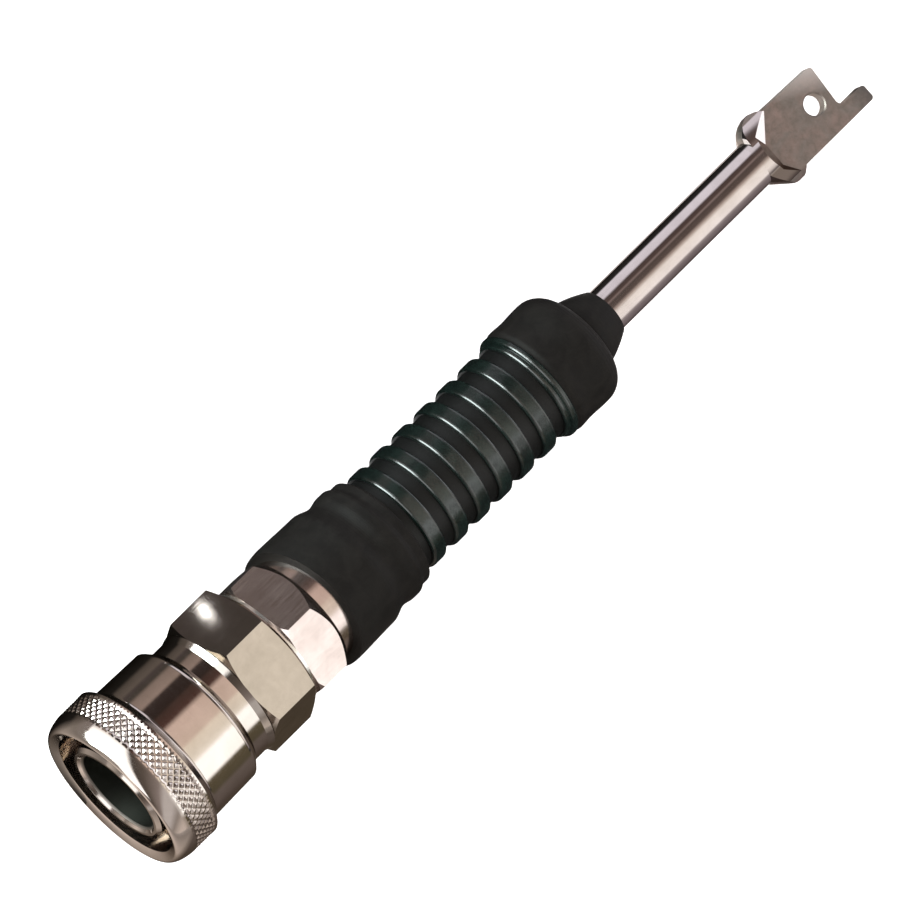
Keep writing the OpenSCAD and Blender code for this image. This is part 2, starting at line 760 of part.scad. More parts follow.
module spring_retainer()
    color([0.7, 0.6, 0.35])
        difference() {
            rod(retainer_r - push_fit, chamber_end_x, retainer_back_x);
            rod(guide_stem_r + run_fit, chamber_end_x - cut_over, retainer_back_x + cut_over);
            for (i = [0 : retainer_holes - 1])
                rotate([i * 360 / retainer_holes, 0, 0])
                    translate([chamber_end_x - cut_over, 0, retainer_hole_ring_r])
                        rotate([0, 90, 0])
                            cylinder(d = retainer_hole_d, h = retainer_t + 2 * cut_over, $fn = round_fn);
        }

module body_gasket()
    color([0.15, 0.15, 0.15])
        ring(retainer_r + push_fit, body_thread_r, gasket_x, gasket_end_x);

// ---- hexagons ----

module hex_adapter()
    color([0.70, 0.66, 0.60])
        difference() {
            union() {
                cone(collar_r - collar_fall, collar_r, adapter_x, hex_x);
                intersection() {
                    hexagon(adapter_corner_r, hex_x - collar_lap, adapter_end_x, hex_turn);
                    turned([
                        [0, hex_x - collar_lap],
                        [core_r, hex_x - collar_lap],
                        [adapter_corner_r, hex_x + adapter_chamfer],
                        [adapter_corner_r, adapter_end_x - adapter_back_chamfer],
                        [adapter_face_r, adapter_end_x - adapter_back_edge],
                        [adapter_face_r - adapter_back_edge, adapter_end_x],
                        [0, adapter_end_x]
                    ]);
                }
                rod(tail_r, gasket_end_x, tail_end_x);
            }
            ring(clamp_r, body_thread_r + push_fit, adapter_x - cut_over, gasket_end_x);
            rod(clamp_r + cut_over, adapter_x - cut_over, retainer_back_x);
            rod(clamp_bore_r, adapter_x, gasket_end_x);
            rod(air_way_r, gasket_end_x - cut_over, tail_end_x + cut_over);
        }

module sealing_washer()
    color([0.85, 0.83, 0.80])
        ring(tail_r + push_fit, washer_d / 2, adapter_end_x, washer_end_x);

module stem_outside()
    intersection() {
        hexagon(stem_corner_r, stem_x, stem_face_x, stem_turn + 180 / hex_sides);
        turned([
            [0, stem_x],
            [stem_corner_r - stem_front_chamfer, stem_x],
            [stem_corner_r, stem_x + stem_front_chamfer],
            [stem_corner_r, stem_x + stem_corner_len],
            [stem_end_r, stem_face_x - stem_end_len],
            [stem_end_r, stem_face_x],
            [0, stem_face_x]
        ]);
    }

module handle_stem()
    color([0.60, 0.50, 0.46])
        difference() {
            union() {
                stem_outside();
                rod(spigot_r, stem_socket_end_x, spigot_end_x);
            }
            rod(tail_r + push_fit, stem_x - cut_over, stem_socket_end_x);
            rod(air_way_r, stem_x, spigot_end_x + cut_over);
            ring(o_groove_r, spigot_r + cut_over, o_ring_x - o_ring_r - push_fit, o_ring_x + o_ring_r + push_fit);
        }

module stem_o_ring()
    color([0.1, 0.1, 0.1])
        rotate([0, 90, 0])
            translate([0, 0, o_ring_x])
                rotate_extrude($fn = round_fn)
                    translate([o_ring_centre_r, 0])
                        circle(r = o_ring_r, $fn = round_fn);

// ---- grip ----

module handle_barrel()
    color([0.55, 0.55, 0.56])
        ring(barrel_in_r, barrel_r, stem_face_x, barrel_end_x);

module rear_boot() {
    tail_x = rear_boot_x - boot_tail;
    outline = flow([
        [rear_boot_r - boot_tail_drop, tail_x],
        [rear_boot_r, rear_boot_x + rear_full_at],
        [rear_boot_r - rear_fall, rear_boot_x + rear_plain_len],
        [rear_boot_r - rear_waist_depth, ribs_x - rear_waist_at],
        [rear_boot_r - rear_collar_drop, ribs_x - rear_collar_at - rear_collar_w / 2],
        [rear_boot_r - rear_collar_drop, ribs_x - rear_collar_at + rear_collar_w / 2],
        [rear_boot_r - rear_lip_drop, ribs_x - rear_lip_w],
        [rear_boot_r - rear_lip_drop, ribs_x - rear_lip_edge],
        [rear_boot_r - rear_lip_drop - rear_lip_edge, ribs_x]
    ]);
    color([0.12, 0.11, 0.11])
        difference() {
            turned(concat(outline, [[rubber_in_r, ribs_x], [rubber_in_r, tail_x]]));
            stem_outside();
            translate([rear_boot_x, 0, 0])
                rotate([0, rear_boot_slant, 0])
                    translate([-far, -far / 2, -far / 2])
                        cube([far, far, far]);
        }
}

// the outline of one rib between two places, with rounded edges
function rib(outer_r, edge, x0, x1) = concat(
    [[rib_root_r, x0]],
    [
        for (i = [0 : edge_steps])
            let (a = 90 * i / edge_steps)
            [outer_r - edge * (1 - sin(a)), x0 + edge * (1 - cos(a))]
    ],
    [
        for (i = [0 : edge_steps])
            let (a = 90 * i / edge_steps)
            [outer_r - edge * (1 - cos(a)), x1 - edge * (1 - sin(a))]
    ],
    [[rib_root_r, x1]]
);

// the flange: a low step like a rib, then a rim with a rounded rise
function flange_outline() =
    let (
        rise = flange_r - rib_r,
        rim_x = flange_end_x - flange_rim_w,
        rim_round = flange_rim_w / 2,
        rim_edge = rise / 3
    )
    concat(
        [[rib_root_r, flange_x]],
        [
            for (i = [0 : edge_steps])
                let (a = 90 * i / edge_steps)
                [rib_r - rib_edge * (1 - sin(a)), flange_x + rib_edge * (1 - cos(a))]
        ],
        [
            for (i = [0 : edge_steps])
                let (a = 90 * i / edge_steps)
                [rib_r + rise * sin(a), rim_x + rim_round * (1 - cos(a))]
        ],
        [[flange_r, flange_end_x - rim_edge], [flange_r - rim_edge, flange_end_x]]
    );

module ribbed_grip()
    color([0.09, 0.16, 0.14])
        turned(concat(
            [[rubber_in_r, ribs_x], [rib_root_r, ribs_x]],
            [
                for (i = [0 : rib_count - 1])
                    let (x0 = ribs_x + rib_lead + i * rib_pitch)
                    each rib(rib_r, rib_edge, x0, x0 + rib_pitch - rib_gap)
            ],
            flange_outline(),
            [[rubber_in_r, flange_end_x]]
        ));

module front_boot() {
    shoulder_x = flange_end_x + front_shoulder_at;
    nose_x = shoulder_x + front_shoulder_r;
    nose_root_r = tube_r + front_nose_wall;
    nose_fall = front_nose_wall - front_tip_wall;
    outline = flow([
        [front_boot_r - front_edge_drop, flange_end_x],
        [front_boot_r, flange_end_x + front_full_at],
        [front_boot_r - front_waist_depth, flange_end_x + front_waist_at],
        [front_boot_r, shoulder_x - front_full_at]
    ]);
    shoulder = arc(front_boot_r - front_shoulder_r, shoulder_x, front_shoulder_r, 0, front_shoulder_to);
    nose = [
        for (i = [0 : arc_steps])
            let (t = i / arc_steps)
            [nose_root_r - nose_fall * pow(t, nose_power), nose_x + (front_boot_end_x - nose_x) * t]
    ];
    color([0.12, 0.11, 0.11])
        turned(concat(
            outline, shoulder, nose,
            [
                [tube_hole_r, front_boot_end_x],
                [tube_hole_r, gland_end_x + push_fit],
                [rubber_in_r, gland_end_x + push_fit],
                [rubber_in_r, flange_end_x]
            ]
        ));
}

// ---- gland, tube and head ----

module front_bush()
    color([0.70, 0.60, 0.35])
        difference() {
            union() {
                rod(bush_r, bush_x, barrel_end_x);
                rod(barrel_r, barrel_end_x, bush_flange_end_x);
                rod(bush_thread_r, bush_flange_end_x, bush_nose_x);
            }
            rod(tube_in_r, bush_x - cut_over, tube_x);
            rod(tube_hole_r, tube_x, bush_nose_x + cut_over);
        }

module tube_ferrule()
    color([0.78, 0.66, 0.38])
        turned([
            [tube_hole_r, bush_nose_x],
            [ferrule_back_r, bush_nose_x],
            [ferrule_tip_r, ferrule_end_x],
            [tube_hole_r, ferrule_end_x]
        ]);

module gland_nut()
    color([0.72, 0.62, 0.36])
        difference() {
            rod(gland_r, bush_flange_end_x, gland_end_x);
            rod(gland_thread_r, bush_flange_end_x - cut_over, bush_nose_x);
            cone(gland_thread_r, ferrule_tip_r + push_fit, bush_nose_x, ferrule_end_x);
            rod(tube_hole_r, bush_flange_end_x, gland_end_x + cut_over);
        }

module air_tube()
    color([0.80, 0.76, 0.74])
        ring(tube_in_r, tube_r, tube_x, head_x);

// outline of the flat head in plan, with its rounded corners and the finger's fillet
function plan_arc(x, y, r, from, to) = [
    for (i = [0 : arc_steps])
        let (a = from + (to - from) * i / arc_steps)
        [x + r * cos(a), y + r * sin(a)]
];

module plate_outline()
    let (
        top_y = plate_high - plate_draw,
        root_y = -plate_low + finger_w,
        end_x = plate_end_x - plate_rake
    )
    polygon(concat(
        [[plate_start_x, -plate_low], [plate_start_x, plate_high], [upper_lobe_x, plate_high]],
        plan_arc(plate_end_x - corner_r, top_y - corner_r, corner_r, 90, 0),
        plan_arc(end_x + finger_fillet, root_y + finger_fillet, finger_fillet, 180, 270),
        plan_arc(finger_end_x - corner_r, root_y - corner_r, corner_r, 90, 0),
        plan_arc(finger_end_x - corner_r, -plate_low + corner_r, corner_r, 0, -90)
    ));

// a turned collar, kept on one side of the tool only
module half_turned(points, side)
    intersection() {
        turned(points);
        translate([head_x - cut_over, side > 0 ? -lobe_overlap : lobe_overlap - far, -far / 2])
            cube([far, far, far]);
    }

// the two lobes beside the tube's end, thinned to a lens towards their rims
module lobes()
    intersection() {
        union() {
            half_turned(concat(
                [[0, head_x], [tube_r - lobe_inside, head_x]],
                arc(upper_arc_r, upper_lobe_x, upper_lobe_r, upper_from, upper_to),
                [[0, upper_lobe_x + upper_lobe_r * sin(upper_to)]]
            ), 1);
            half_turned(concat(
                [[0, head_x], [tube_r, head_x]],
                arc(lower_lobe_h - lower_lobe_r, lower_arc_x, lower_lobe_r, -lower_lobe_slope, 0),
                arc(lower_lobe_h - lower_lobe_edge, lower_edge_x, lower_lobe_edge, 0, lower_to),
                [[plate_low - lobe_inside, lower_edge_x + lower_lobe_h - plate_low + lobe_inside]],
                [[0, lower_edge_x + lower_lobe_h - plate_low + lobe_inside]]
            ), -1);
        }
        translate([0, 0, -lens_shift])
            rod(lens_r, head_x, finger_end_x);
        translate([0, 0, lens_shift])
            rod(lens_r, head_x, finger_end_x);
    }

// everything beyond a leaning wall whose foot passes a point of the flat head's face
module beyond_wall(y, turn, lean)
    translate([flat_x, y, plate_t / 2])
        rotate([0, 0, turn])
            rotate([0, -lean, 0])
                translate([0, -far, -far])
                    cube([2 * far, 2 * far, 2 * far]);

// what the flats remove above the plate: square across the axis, then drawn back on both sides
module flat_cutter()
    intersection() {
        translate([head_x - far, -far, plate_t / 2])
            cube([2 * far, 2 * far, far]);
        beyond_wall(0, 0, flat_lean);
        beyond_wall(flat_hi, -flat_hi_turn, flat_hi_lean);
        beyond_wall(-flat_lo, flat_lo_turn, flat_lean);
    }

module tool_head()
    color([0.47, 0.42, 0.39])
        difference() {
            union() {
                lobes();
                rod(tube_r, head_x, flat_x + lobe_inside);
                translate([0, 0, -plate_t / 2])
                    linear_extrude(plate_t)
                        plate_outline();
                rod(head_spigot_r, head_x - head_spigot_len, head_x + lobe_inside);
            }
            flat_cutter();
            mirror([0, 0, 1])
                flat_cutter();
            rod(drilling_r, head_x - head_spigot_len - cut_over, hole_x);
            translate([hole_x, hole_up, -far / 2])
                cylinder(r = hole_r, h = far, $fn = round_fn);
            for (side = [0, 1])
                mirror([0, 0, side])
                    translate([hole_x, hole_up, plate_t / 2 - hole_chamfer])
                        cylinder(r1 = hole_r, r2 = hole_r + hole_chamfer, h = hole_chamfer, $fn = round_fn);
        }

coupler_body();
coupler_sleeve();
sleeve_spring();
sleeve_stop_ring();
locking_ball(0);  // locking_ball_1
locking_ball(1);  // locking_ball_2
locking_ball(2);  // locking_ball_3
locking_ball(3);  // locking_ball_4
locking_ball(4);  // locking_ball_5
locking_ball(5);  // locking_ball_6
plug_packing();
valve_poppet();
poppet_seal();
valve_spring();
spring_retainer();
body_gasket();
hex_adapter();
sealing_washer();
handle_stem();
stem_o_ring();
handle_barrel();
rear_boot();
ribbed_grip();
front_boot();
front_bush();
tube_ferrule();
gland_nut();
air_tube();
tool_head();
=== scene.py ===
import bpy
import bmesh
import math
from mathutils import Matrix, Vector


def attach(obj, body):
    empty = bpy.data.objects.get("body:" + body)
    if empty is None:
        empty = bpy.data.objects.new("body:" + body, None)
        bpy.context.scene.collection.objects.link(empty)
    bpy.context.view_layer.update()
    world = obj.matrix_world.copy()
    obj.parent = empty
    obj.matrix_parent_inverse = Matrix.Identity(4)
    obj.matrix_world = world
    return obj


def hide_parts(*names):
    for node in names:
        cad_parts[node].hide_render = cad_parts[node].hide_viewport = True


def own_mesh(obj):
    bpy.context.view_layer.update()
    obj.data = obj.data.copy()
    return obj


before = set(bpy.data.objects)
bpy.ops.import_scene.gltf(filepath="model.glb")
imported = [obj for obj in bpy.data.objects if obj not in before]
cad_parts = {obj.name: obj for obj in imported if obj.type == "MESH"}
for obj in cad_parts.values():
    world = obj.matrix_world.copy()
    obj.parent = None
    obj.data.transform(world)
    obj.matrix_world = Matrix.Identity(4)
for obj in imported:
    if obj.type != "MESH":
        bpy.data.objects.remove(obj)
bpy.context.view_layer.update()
print("frame loaded:", len(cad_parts), "nodes")
mm = 0.001


def addObject(name, data):
    obj = bpy.data.objects.new(name, data)
    bpy.context.scene.collection.objects.link(obj)
    return obj


# camera: the tool leans across the frame, with its mouth a little nearer
cameraPlace = {
    "lean": 44.57,        # degrees up from the frame's lower edge
    "tilt": 19.5,         # degrees, the mouth towards the camera
    "roll": 8.0,          # degrees, the upper long side towards the camera
    "distance": 1.130,    # metres to the anchor on the axis
    "anchorX": 0.06164,   # the anchor's place along the tool
    "shiftRight": -0.000875,
    "shiftUp": -0.002768,
    "lens": 348.0,        # millimetres
    "sensor": 36.0,
    "clipStart": 0.05,
    "clipEnd": 20.0,
}


def makeCamera(place):
    lean = math.radians(place["lean"])
    tilt = math.radians(place["tilt"])
    roll = math.radians(place["roll"])
    flat = math.cos(tilt)
    alongTool = Vector((flat * math.cos(lean), flat * math.sin(lean), -math.sin(tilt)))
    acrossFrame = Vector((-math.sin(lean), math.cos(lean), 0))
    toCamera = alongTool.cross(acrossFrame)
    toolY = acrossFrame * math.cos(roll) + toCamera * math.sin(roll)
    toolZ = toCamera * math.cos(roll) - acrossFrame * math.sin(roll)
    anchor = Vector((place["shiftRight"], place["shiftUp"], -place["distance"]))
    origin = anchor - alongTool * place["anchorX"]
    toolInCamera = Matrix((alongTool, toolY, toolZ)).transposed().to_4x4()
    toolInCamera.translation = origin
    data = bpy.data.cameras.new("camera")
    data.lens = place["lens"]
    data.sensor_width = place["sensor"]
    data.clip_start = place["clipStart"]
    data.clip_end = place["clipEnd"]
    camera = addObject("camera", data)
    camera.matrix_world = toolInCamera.inverted()
    bpy.context.scene.camera = camera


makeCamera(cameraPlace)
bpy.context.scene.view_settings.view_transform = "Standard"
print("camera placed")


# a material's node tree, with short calls for the nodes used below
class Graph:
    def __init__(self, name):
        self.material = bpy.data.materials.new(name)
        self.material.use_nodes = True
        self.tree = self.material.node_tree
        self.tree.nodes.clear()
        self.out = self.add("ShaderNodeOutputMaterial")

    def add(self, kind, **settings):
        node = self.tree.nodes.new(kind)
        for key, value in settings.items():
            setattr(node, key, value)
        return node

    def feed(self, socket, value):
        if isinstance(value, bpy.types.NodeSocket):
            self.tree.links.new(value, socket)
        else:
            socket.default_value = value

    def place(self, scale=(1, 1, 1), offset=(0, 0, 0)):
        coords = self.add("ShaderNodeTexCoord")
        mapping = self.add("ShaderNodeMapping")
        mapping.inputs["Scale"].default_value = scale
        mapping.inputs["Location"].default_value = offset
        self.feed(mapping.inputs["Vector"], coords.outputs["Object"])
        return mapping.outputs["Vector"]

    def xyz(self):
        coords = self.add("ShaderNodeTexCoord")
        split = self.add("ShaderNodeSeparateXYZ")
        self.feed(split.inputs[0], coords.outputs["Object"])
        return split.outputs

    def outFromAxis(self, y, z):
        squares = self.math("ADD", self.math("MULTIPLY", y, y), self.math("MULTIPLY", z, z))
        return self.math("SQRT", squares)

    def noise(self, vector, scale, detail=4.0, rough=0.55, distortion=0.0):
        node = self.add("ShaderNodeTexNoise")
        self.feed(node.inputs["Vector"], vector)
        node.inputs["Scale"].default_value = scale
        node.inputs["Detail"].default_value = detail
        node.inputs["Roughness"].default_value = rough
        node.inputs["Distortion"].default_value = distortion
        return node.outputs["Fac"]

    def math(self, operation, a, b=0.0):
        node = self.add("ShaderNodeMath", operation=operation)
        self.feed(node.inputs[0], a)
        self.feed(node.inputs[1], b)
        return node.outputs[0]

    def spread(self, value, low, high, toLow=0.0, toHigh=1.0):
        node = self.add("ShaderNodeMapRange")
        self.feed(node.inputs["Value"], value)
        node.inputs["From Min"].default_value = low
        node.inputs["From Max"].default_value = high
        node.inputs["To Min"].default_value = toLow
        node.inputs["To Max"].default_value = toHigh
        return node.outputs["Result"]

    def ramp(self, value, stops):
        node = self.add("ShaderNodeValToRGB")
        self.feed(node.inputs["Fac"], value)
        band = node.color_ramp
        band.elements[0].position = stops[0][0]
        band.elements[0].color = (*stops[0][1], 1)
        band.elements[1].position = stops[-1][0]
        band.elements[1].color = (*stops[-1][1], 1)
        for place, colour in stops[1:-1]:
            element = band.elements.new(place)
            element.color = (*colour, 1)
        return node.outputs["Color"]

    def mix(self, amount, a, b):
        node = self.add("ShaderNodeMix", data_type="RGBA")
        self.feed(node.inputs[0], amount)
        self.feed(node.inputs[6], a if isinstance(a, bpy.types.NodeSocket) else (*a, 1))
        self.feed(node.inputs[7], b if isinstance(b, bpy.types.NodeSocket) else (*b, 1))
        return node.outputs[2]

    def bump(self, height, strength, distance, normal=None):
        node = self.add("ShaderNodeBump")
        self.feed(node.inputs["Height"], height)
        node.inputs["Strength"].default_value = strength
        node.inputs["Distance"].default_value = distance
        if normal is not None:
            self.feed(node.inputs["Normal"], normal)
        return node.outputs["Normal"]

    def principled(self, **sockets):
        node = self.add("ShaderNodeBsdfPrincipled")
        for name, value in sockets.items():
            socket = node.inputs[name.replace("_", " ")]
            if isinstance(value, tuple) and len(value) == 3:
                value = (*value, 1)
            self.feed(socket, value)
        self.feed(self.out.inputs["Surface"], node.outputs["BSDF"])


# marks run round the tool when turned, along it when drawn
markStretch = {"turned": (1, 0.04, 0.04), "drawn": (0.04, 1, 1), "none": (1, 1, 1)}
metalRelief = {"height": 0.00002, "pitsFiner": 9, "pitsShallower": 0.6}   # height in metres


# rough and smooth patches of a finish, about its own roughness
def patchyRoughness(g, pattern, look):
    rough, either = look["rough"], look["roughSpread"]
    return g.spread(pattern, 0.3, 0.7, rough - either, rough + either)


# plated or bare metal
def makeMetal(name, look):
    g = Graph(name)
    stains = g.noise(g.place(), look["stainScale"], detail=5, distortion=0.4)
    colour = g.mix(g.spread(stains, 0.35, 0.68), look["colour"], look["worn"])
    stretched = g.place(scale=markStretch[look["marks"]])
    marks = g.noise(stretched, look["markScale"], detail=3, rough=0.7)
    roughness = patchyRoughness(g, marks, look)
    if "boreR" in look:   # painted shade inside the bore: darker and duller deeper in
        x, y, z = g.xyz()
        deep = g.outFromAxis(y, z)
        bore, clear = look["boreR"] * mm, (look["boreR"] + look["boreFade"]) * mm
        boreShadeMask = g.spread(deep, bore, clear, 1.0, 0.0)
        boreShadeMask = g.math("MULTIPLY", boreShadeMask, g.spread(x, *(v * mm for v in look["boreShadeFrom"])))
        colour = g.mix(boreShadeMask, colour, look["boreShade"])
        roughness = g.math("ADD", roughness, g.math("MULTIPLY", boreShadeMask, look["boreShadeRough"]))
    pits = g.noise(g.place(), look["stainScale"] * metalRelief["pitsFiner"], detail=2)
    normal = g.bump(marks, look["markDepth"], metalRelief["height"])
    pitDepth = look["markDepth"] * metalRelief["pitsShallower"]
    normal = g.bump(pits, pitDepth, metalRelief["height"], normal)
    g.principled(Base_Color=colour, Metallic=1.0, Roughness=roughness,
                 Specular_Tint=look["edge"], Normal=normal)
    return g.material


rubberRelief = {"grain": 0.00005, "wave": 0.0003}   # heights in metres


# moulded rubber with a fine grain and pale bloom
def makeRubber(name, look):
    g = Graph(name)
    clouds = g.noise(g.place(), look["cloudScale"], detail=6, rough=0.6, distortion=0.6)
    colour = g.mix(g.spread(clouds, 0.38, 0.7), look["colour"], look["bloom"])
    shadeRough = 0.0
    shine = (1.0, 1.0, 1.0)
    if "grooveR" in look:   # painted shade down in the grooves: darker colour, duller and weaker reflection
        x, y, z = g.xyz()
        deep = g.outFromAxis(y, z)
        low, high = look["grooveR"] * mm, (look["grooveR"] + look["grooveFade"]) * mm
        groove = g.spread(deep, low, high, 1.0, 0.0)
        colour = g.mix(groove, colour, look["groove"])
        shadeRough = g.math("MULTIPLY", groove, look["grooveDust"])
        shine = g.mix(groove, shine, look["grooveShine"])
    grain = g.noise(g.place(), look["grainScale"], detail=3, rough=0.6)
    roughness = g.math("ADD", patchyRoughness(g, clouds, look), shadeRough)
    normal = g.bump(grain, look["grainDepth"], rubberRelief["grain"])
    normal = g.bump(clouds, look["waveDepth"], rubberRelief["wave"], normal)
    g.principled(Base_Color=colour, Roughness=roughness, Specular_IOR_Level=look["gloss"],
                 Specular_Tint=shine, IOR=1.5, Normal=normal)
    return g.material


metals = {
    "sleeveNickel": {"colour": (0.61, 0.555, 0.515), "worn": (0.55, 0.50, 0.455), "edge": (0.36, 0.33, 0.30),
                     "rough": 0.10, "roughSpread": 0.03, "stainScale": 260, "marks": "turned",
                     "markScale": 5200, "markDepth": 0.10},
    # bodyNickel's near-black colour down the bore is painted shade, with its fade and roughening
    "bodyNickel": {"colour": (0.57, 0.52, 0.48), "worn": (0.51, 0.46, 0.42), "edge": (0.36, 0.33, 0.30),
                   "rough": 0.11, "roughSpread": 0.03, "stainScale": 300, "marks": "turned",
                   "markScale": 5200, "markDepth": 0.12, "boreR": 6.35, "boreFade": 0.12,
                   "boreShade": (0.034, 0.035, 0.030), "boreShadeFrom": (-0.6, 0.1), "boreShadeRough": 0.4},
    "adapterNickel": {"colour": (0.54, 0.50, 0.46), "worn": (0.47, 0.435, 0.395), "edge": (0.38, 0.35, 0.30),
                      "rough": 0.08, "roughSpread": 0.02, "stainScale": 420, "marks": "drawn",
                      "markScale": 4200, "markDepth": 0.14},
    "stemNickel": {"colour": (0.66, 0.575, 0.54), "worn": (0.58, 0.49, 0.455), "edge": (0.36, 0.32, 0.30),
                   "rough": 0.2, "roughSpread": 0.03, "stainScale": 380, "marks": "drawn",
                   "markScale": 4200, "markDepth": 0.035},
    "washerMetal": {"colour": (0.86, 0.84, 0.80), "worn": (0.78, 0.76, 0.72), "edge": (0.9, 0.88, 0.85),
                    "rough": 0.25, "roughSpread": 0.05, "stainScale": 500, "marks": "turned",
                    "markScale": 6000, "markDepth": 0.1},
    "springSteel": {"colour": (0.46, 0.46, 0.48), "worn": (0.38, 0.38, 0.40), "edge": (0.5, 0.5, 0.5),
                    "rough": 0.3, "roughSpread": 0.06, "stainScale": 900, "marks": "drawn",
                    "markScale": 6000, "markDepth": 0.1},
    "ballSteel": {"colour": (0.76, 0.75, 0.74), "worn": (0.70, 0.69, 0.68), "edge": (0.8, 0.8, 0.8),
                  "rough": 0.08, "roughSpread": 0.02, "stainScale": 900, "marks": "none",
                  "markScale": 3000, "markDepth": 0.05},
    "turnedBrass": {"colour": (0.75, 0.60, 0.30), "worn": (0.66, 0.50, 0.24), "edge": (0.85, 0.75, 0.5),
                    "rough": 0.22, "roughSpread": 0.05, "stainScale": 500, "marks": "turned",
                    "markScale": 5200, "markDepth": 0.15},
    "barrelSteel": {"colour": (0.55, 0.55, 0.56), "worn": (0.46, 0.46, 0.47), "edge": (0.6, 0.6, 0.6),
                    "rough": 0.3, "roughSpread": 0.06, "stainScale": 400, "marks": "drawn",
                    "markScale": 5200, "markDepth": 0.12},
    "tubeChrome": {"colour": (0.66, 0.62, 0.60), "worn": (0.60, 0.56, 0.54), "edge": (0.36, 0.33, 0.32),
                   "rough": 0.09, "roughSpread": 0.03, "stainScale": 340, "marks": "drawn",
                   "markScale": 5200, "markDepth": 0.08},
}

rubbers = {
    "bootRubber": {"colour": (0.011, 0.0105, 0.0095), "bloom": (0.018, 0.017, 0.015), "rough": 0.6,
                   "roughSpread": 0.07, "gloss": 0.11, "cloudScale": 420, "grainScale": 4200,
                   "grainDepth": 0.35, "waveDepth": 0.10},
    # gripRubber's groove colour, groove roughening and weakened groove reflection are painted shade
    "gripRubber": {"colour": (0.006, 0.013, 0.011), "bloom": (0.010, 0.024, 0.020), "rough": 0.2,
                   "roughSpread": 0.04, "gloss": 0.9, "cloudScale": 380, "grainScale": 3600,
                   "grainDepth": 0.16, "waveDepth": 0.10, "grooveR": 7.35, "grooveFade": 0.3,
                   "groove": (0.003, 0.004, 0.0035), "grooveDust": 0.3, "grooveShine": (0.3, 0.3, 0.3)},
    "sealRubber": {"colour": (0.02, 0.02, 0.02), "bloom": (0.035, 0.034, 0.033), "rough": 0.5,
                   "roughSpread": 0.08, "gloss": 0.45, "cloudScale": 500, "grainScale": 5000,
                   "grainDepth": 0.3, "waveDepth": 0.1},
}

finish = {name: makeMetal(name, look) for name, look in metals.items()}
finish.update({name: makeRubber(name, look) for name, look in rubbers.items()})

# the head: mottled satin plate with a painted highlight on its far upper corner and painted shade at the tip,
# polished round part behind the flats with painted shade on the lower lobe; places in millimetres
headLook = {
    "satin": (0.20, 0.172, 0.15),
    "satinWarm": (0.38, 0.295, 0.265),
    "satinCool": (0.28, 0.265, 0.245),
    # painted highlight: pale colour for the plate's far upper corner
    "pale": (0.70, 0.67, 0.65),
    # painted shade: dark colour for the finger's end
    "tipShade": (0.10, 0.105, 0.105),
    "polish": (0.62, 0.58, 0.555),
    # painted shade: dark colour for the lower lobe of the round part
    "under": (0.14, 0.115, 0.10),
    "edge": (0.5, 0.46, 0.43),
    "faceZ": 1.07,                                          # the plate's flats
    "cornerX": (128, 138), "cornerY": (-1, 4.6), "cornerFade": (1.15, 1.95),
    "tipShadeX": (138.5, 142), "tipShadeAmount": 0.75,
    "underY": (-2.4, -1.2),                                 # painted shade: the lower lobe is darker
    "rough": 0.46, "polishRough": 0.15,
    "mottleScale": 900, "patchScale": 320, "patchOffset": (0.01, 0.02, 0),
    "mottleDepth": 0.12, "mottleHeight": 0.00003,
}


def makeHeadFinish(name, look):
    g = Graph(name)
    x, y, z = g.xyz()

    def along(axis, key, *ends):
        low, high = look[key]
        return g.spread(axis, low * mm, high * mm, *ends)

    mottle = g.noise(g.place(), look["mottleScale"], detail=6, rough=0.65, distortion=0.3)
    patches = g.noise(g.place(offset=look["patchOffset"]), look["patchScale"], detail=4, distortion=0.5)
    colour = g.mix(g.spread(patches, 0.35, 0.65), look["satinCool"], look["satinWarm"])
    colour = g.mix(g.spread(mottle, 0.3, 0.75), colour, look["satin"])
    # painted highlight: the plate pales towards its far upper corner
    corner = g.math("ADD", along(x, "cornerX"), along(y, "cornerY"))
    colour = g.mix(g.spread(corner, *look["cornerFade"]), colour, look["pale"])
    # painted shade: darker towards the finger's tip
    colour = g.mix(along(x, "tipShadeX", 0.0, look["tipShadeAmount"]), colour, look["tipShade"])
    roundPart = g.math("GREATER_THAN", g.math("ABSOLUTE", z), look["faceZ"] * mm)
    # painted shade: the round part darkens on the lower lobe
    lobe = g.mix(along(y, "underY"), look["under"], look["polish"])
    colour = g.mix(roundPart, colour, lobe)
    roughness = g.math("MULTIPLY", g.spread(roundPart, 0, 1, look["rough"], look["polishRough"]),
                       g.spread(mottle, 0.3, 0.7, 0.92, 1.08))
    normal = g.bump(mottle, look["mottleDepth"], look["mottleHeight"])
    g.principled(Base_Color=colour, Metallic=1.0, Roughness=roughness,
                 Specular_Tint=look["edge"], Normal=normal)
    return g.material


finish["headFinish"] = makeHeadFinish("headFinish", headLook)

finishOf = {
    "coupler_body": "bodyNickel", "coupler_sleeve": "sleeveNickel", "sleeve_spring": "springSteel",
    "sleeve_stop_ring": "springSteel", "plug_packing": "sealRubber", "valve_poppet": "turnedBrass",
    "poppet_seal": "sealRubber", "valve_spring": "springSteel", "spring_retainer": "turnedBrass",
    "body_gasket": "sealRubber", "hex_adapter": "adapterNickel", "sealing_washer": "washerMetal",
    "handle_stem": "stemNickel", "stem_o_ring": "sealRubber", "handle_barrel": "barrelSteel",
    "rear_boot": "bootRubber", "ribbed_grip": "gripRubber", "front_boot": "bootRubber",
    "front_bush": "turnedBrass", "tube_ferrule": "turnedBrass", "gland_nut": "turnedBrass",
    "air_tube": "tubeChrome", "tool_head": "headFinish",
}
for number in range(1, 7):
    finishOf["locking_ball_%d" % number] = "ballSteel"


def dress(obj, material):
    obj.data.materials.clear()
    obj.data.materials.append(material)


